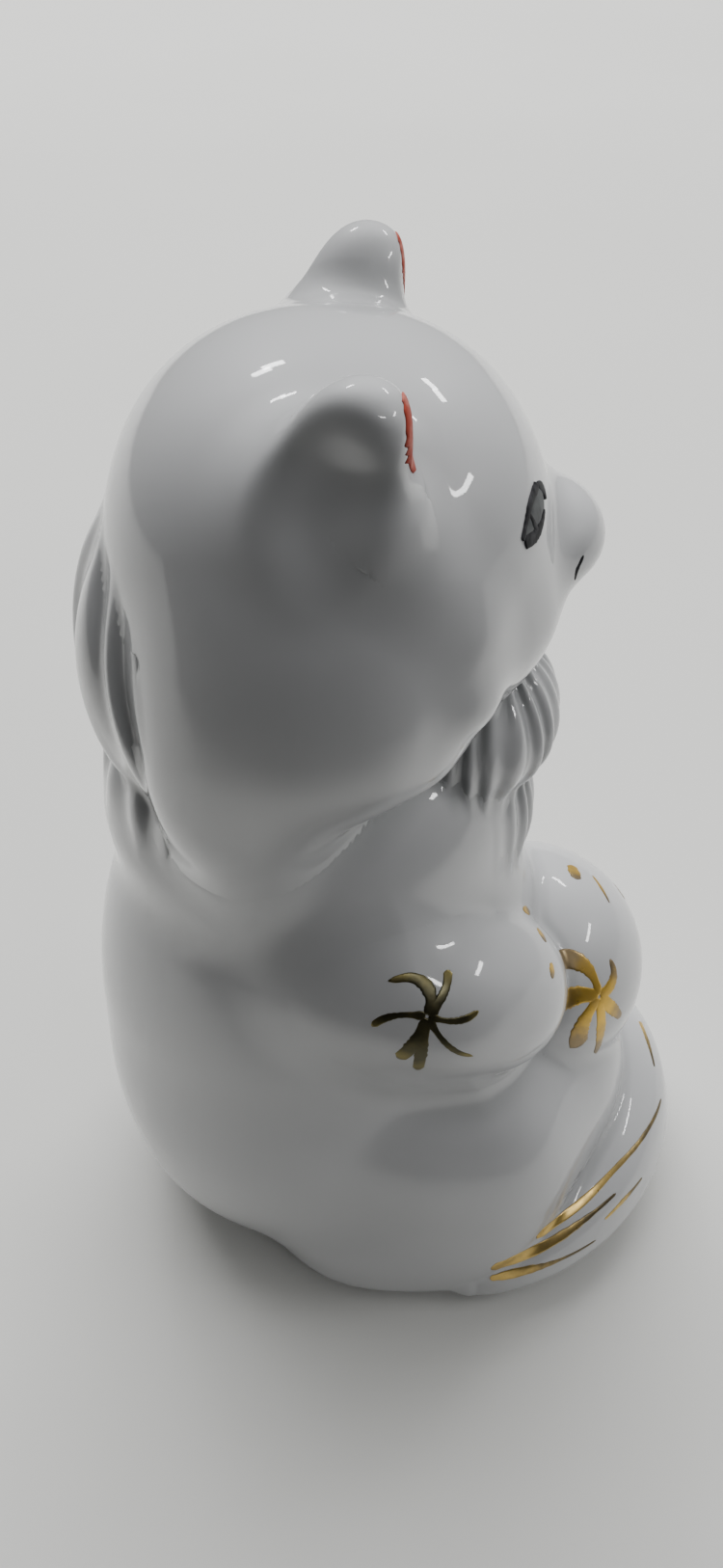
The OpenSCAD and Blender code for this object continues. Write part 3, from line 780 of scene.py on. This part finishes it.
# ---- Camera, floor and lights ---------------------------------------------------------------
# The figure stands on pale paper, and the camera looks down on its right side. A soft ceiling light
# comes from its left, and small bright panes round its front and left leave marks in the glaze.

floor_mesh = bpy.data.meshes.new("tabletop")
HALF = 3.0                                   # half the width of the tabletop, in metres
corners = [(-HALF, -HALF, 0), (HALF, -HALF, 0), (HALF, HALF, 0), (-HALF, HALF, 0)]
floor_mesh.from_pydata(corners, [], [(0, 1, 2, 3)])
floor = bpy.data.objects.new("tabletop", floor_mesh)
bpy.context.scene.collection.objects.link(floor)
paper = bpy.data.materials.new("pale paper")
paper.use_nodes = True
make, nodes, links = node_maker(paper)
grain = make("TexNoise", Vector=make("TexCoord").outputs["Object"], Scale=5.0, Detail=3.0)
paper_grain_tone = make("Mix", data_type="RGBA")
links.new(grain.outputs["Fac"], paper_grain_tone.inputs["Factor"])
paper_grain_tone.inputs["A"].default_value = (0.62, 0.62, 0.60, 1)
paper_grain_tone.inputs["B"].default_value = (0.68, 0.68, 0.66, 1)
# The tabletop's colour falls to 4% of itself from 50 to 120 mm out on the camera's side: painted shade that
# stands for the shade of the person who holds the camera.
axes = make("SeparateXYZ", Vector=make("TexCoord").outputs["Object"])
painted_shade = make("MapRange", Value=axes.outputs["X"], From_Min=-0.12, From_Max=-0.05, To_Min=0.04,
              To_Max=1.0)
painted_shade.interpolation_type = "SMOOTHSTEP"
paper_with_painted_shade = make("Mix", data_type="RGBA", blend_type="MULTIPLY")
paper_with_painted_shade.inputs["Factor"].default_value = 1.0
links.new(paper_grain_tone.outputs["Result"], paper_with_painted_shade.inputs["A"])
links.new(painted_shade.outputs["Result"], paper_with_painted_shade.inputs["B"])
links.new(paper_with_painted_shade.outputs["Result"], nodes["Principled BSDF"].inputs["Base Color"])
nodes["Principled BSDF"].inputs["Roughness"].default_value = 0.7
floor_mesh.materials.append(paper)

CAMERA_AT = (-0.099, 0.0096, 0.1454)         # where the lens is, in metres
tip, turn = np.radians(41.0), np.radians(3.0)   # how far it looks down, and towards the face
ahead = Vector((np.cos(tip) * np.cos(turn), -np.cos(tip) * np.sin(turn), -np.sin(tip)))
right = Vector((-np.sin(turn), -np.cos(turn), 0))
up = right.cross(ahead)
camera = bpy.data.objects.new("camera", bpy.data.cameras.new("camera"))
camera.data.sensor_width = 36
camera.data.lens = 28.78
camera.data.clip_start = 0.005
turned = Matrix((right, up, -ahead)).transposed().to_4x4()
camera.matrix_world = Matrix.Translation(CAMERA_AT) @ turned
bpy.context.scene.collection.objects.link(camera)
bpy.context.scene.camera = camera


def lamp(name, azimuth, height, distance, width, depth, power):
    """A flat rectangular lamp at that bearing and height angle, turned to face the figure."""
    a, h = np.radians(azimuth), np.radians(height)
    away = Vector((np.cos(h) * np.cos(a), np.cos(h) * np.sin(a), np.sin(h)))
    data = bpy.data.lights.new(name, "AREA")
    data.shape = "RECTANGLE"
    data.size, data.size_y = width, depth
    data.energy = power
    light = bpy.data.objects.new(name, data)
    light.location = Vector((0, 0, 0.06)) + away * distance
    light.rotation_euler = away.to_track_quat("Z", "Y").to_euler()
    bpy.context.scene.collection.objects.link(light)
    return light


# Each pane is (bearing, height angle, width).
PANES = ((15, 43, 0.2), (20.5, 44.5, 0.2), (-43, 39, 0.2), (-36, 38.5, 0.2), (-150, 36, 0.6),
         (-95, 32, 0.6))
WATTS_PER_METRE = 8
for number, (bearing, height, width) in enumerate(PANES):
    lamp("pane." + str(number), bearing, height, 2.0, width, 0.09, WATTS_PER_METRE * width)
lamp("ceiling", 8, 53, 1.6, 1.8, 1.4, 46).visible_glossy = False

# The room is bright on the figure's left front and dark on the camera's side.
world = bpy.data.worlds.new("room")
bpy.context.scene.world = world
world.use_nodes = True
make, nodes, links = node_maker(world)
along_light = make("VectorMath", operation="DOT_PRODUCT")
links.new(make("TexCoord").outputs["Generated"], along_light.inputs[0])
along_light.inputs[1].default_value = (0.62, -0.46, 0.63)
shading = make("MapRange", Value=along_light.outputs["Value"], From_Min=-0.1, From_Max=1.0,
               To_Min=0.02, To_Max=0.9)
nodes["Background"].inputs["Color"].default_value = (0.82, 0.825, 0.82, 1)
links.new(shading.outputs["Result"], nodes["Background"].inputs["Strength"])
